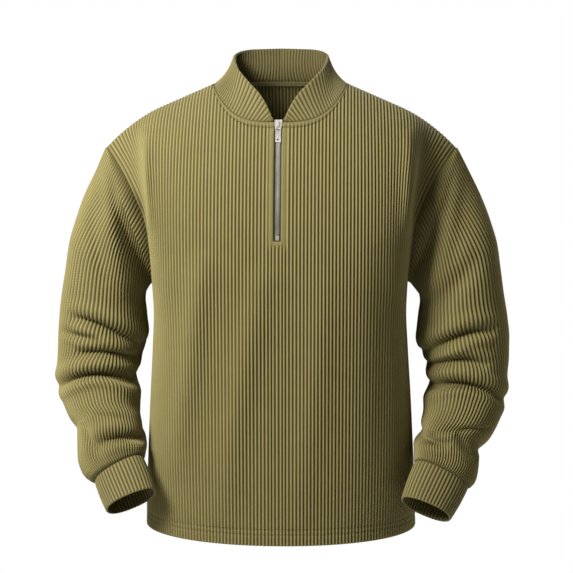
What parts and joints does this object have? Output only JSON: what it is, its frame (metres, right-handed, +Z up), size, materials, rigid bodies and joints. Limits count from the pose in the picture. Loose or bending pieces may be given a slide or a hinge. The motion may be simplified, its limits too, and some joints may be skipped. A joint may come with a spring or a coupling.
{
  "type": "quarter-zip pullover",
  "caption": "Olive quarter-zip pullover in a heavy ribbed knit, filled out as if worn, with drop shoulders, a ribbed stand collar left open in a V and a short metal zip.",
  "frame": {"origin": "middle of the neck opening at the level of the shoulder seams, where the wearer's shoulders hold the garment up", "axes": "+Z up along the wearer, -Y out of the wearer's chest, +X to the wearer's left"},
  "size_m": [0.7224, 0.2747, 0.7624],
  "materials": {
    "rib_knit": "matt ribbed knit",
    "trim_rib": "matt ribbed knit",
    "zip_tape": "matt woven tape",
    "zip_metal": "satin"
  },
  "bodies": {
    "garment": {"front": "rib_knit", "back": "rib_knit", "sleeve_right": "rib_knit", "sleeve_left": "rib_knit", "cuff_right": "trim_rib", "cuff_left": "trim_rib", "collar": "trim_rib", "neck_tape": "zip_tape", "zip_tape_right": "zip_tape", "zip_tape_left": "zip_tape", "zip_chain": "zip_metal", "zip_stop": "zip_metal", "zip_slider": "zip_metal"},
    "pull_tab": {"pull_tab": "zip_metal"}
  },
  "joints": [
    {"name": "pull_tab_lift", "type": "hinge", "parent": "garment", "child": "pull_tab", "pos_m": [0, -0.10193, -0.05219], "axis": [-1, 0, 0], "range_deg": [0, 150]}
  ]
}
